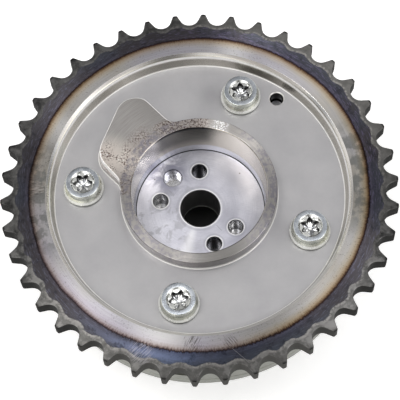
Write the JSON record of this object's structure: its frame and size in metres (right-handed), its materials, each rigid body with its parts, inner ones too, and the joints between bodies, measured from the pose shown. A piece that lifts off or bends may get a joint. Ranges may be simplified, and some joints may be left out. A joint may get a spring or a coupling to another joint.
{
  "type": "cam phaser",
  "caption": "Chain-driven cam phaser: toothed plate with a raised bore boss and lock-pin pad, bolted to a housing and cover round a turning vane rotor",
  "frame": {"origin": "bottom centre, on the camshaft axis, on the front cover's face", "axes": "+Z along the camshaft axis towards the camshaft side; +X and +Y across it"},
  "size_m": [0.111, 0.1108, 0.0305],
  "materials": {
    "plate_steel": "turned and matte, teeth induction hardened with a heat tint",
    "housing_steel": "sintered steel, satin",
    "cover_steel": "satin",
    "rotor_metal": "bright turned",
    "zinc_plated_steel": "zinc plated, glossy",
    "pin_steel": "ground",
    "bush_steel": "hardened",
    "spring_steel": "drawn wire and strip",
    "seal_plastic": "filled polymer"
  },
  "bodies": {
    "root": {"sprocket_plate": "plate_steel", "housing": "housing_steel", "front_cover": "cover_steel", "cover_screw_1": "zinc_plated_steel", "cover_screw_2": "zinc_plated_steel", "cover_screw_3": "zinc_plated_steel", "cover_screw_4": "zinc_plated_steel", "locating_pin": "pin_steel", "lock_pin_seat": "bush_steel", "shoe_seal_1": "seal_plastic", "shoe_seal_2": "seal_plastic", "shoe_seal_3": "seal_plastic", "shoe_seal_4": "seal_plastic", "shoe_seal_spring_1": "spring_steel", "shoe_seal_spring_2": "spring_steel", "shoe_seal_spring_3": "spring_steel", "shoe_seal_spring_4": "spring_steel"},
    "rotor": {"vane_rotor": "rotor_metal", "vane_seal_1": "seal_plastic", "vane_seal_2": "seal_plastic", "vane_seal_3": "seal_plastic", "vane_seal_4": "seal_plastic", "vane_seal_spring_1": "spring_steel", "vane_seal_spring_2": "spring_steel", "vane_seal_spring_3": "spring_steel", "vane_seal_spring_4": "spring_steel", "lock_pin_guide": "bush_steel", "lock_spring_seat": "bush_steel", "lock_pin_spring": "spring_steel"},
    "lock_pin": {"lock_pin": "pin_steel"}
  },
  "joints": [
    {"name": "phase_turn", "type": "hinge", "parent": "root", "child": "rotor", "pos_m": [0, 0, 0], "axis": [0, 0, -1], "range_deg": [0, 22]},
    {"name": "lock_pin_slide", "type": "slide", "parent": "rotor", "child": "lock_pin", "axis": [0, 0, -1], "range_m": [0, 0.0015], "stiffness_N_per_m": 800, "springref_m": -0.004, "deforming": ["lock_pin_spring"]}
  ]
}
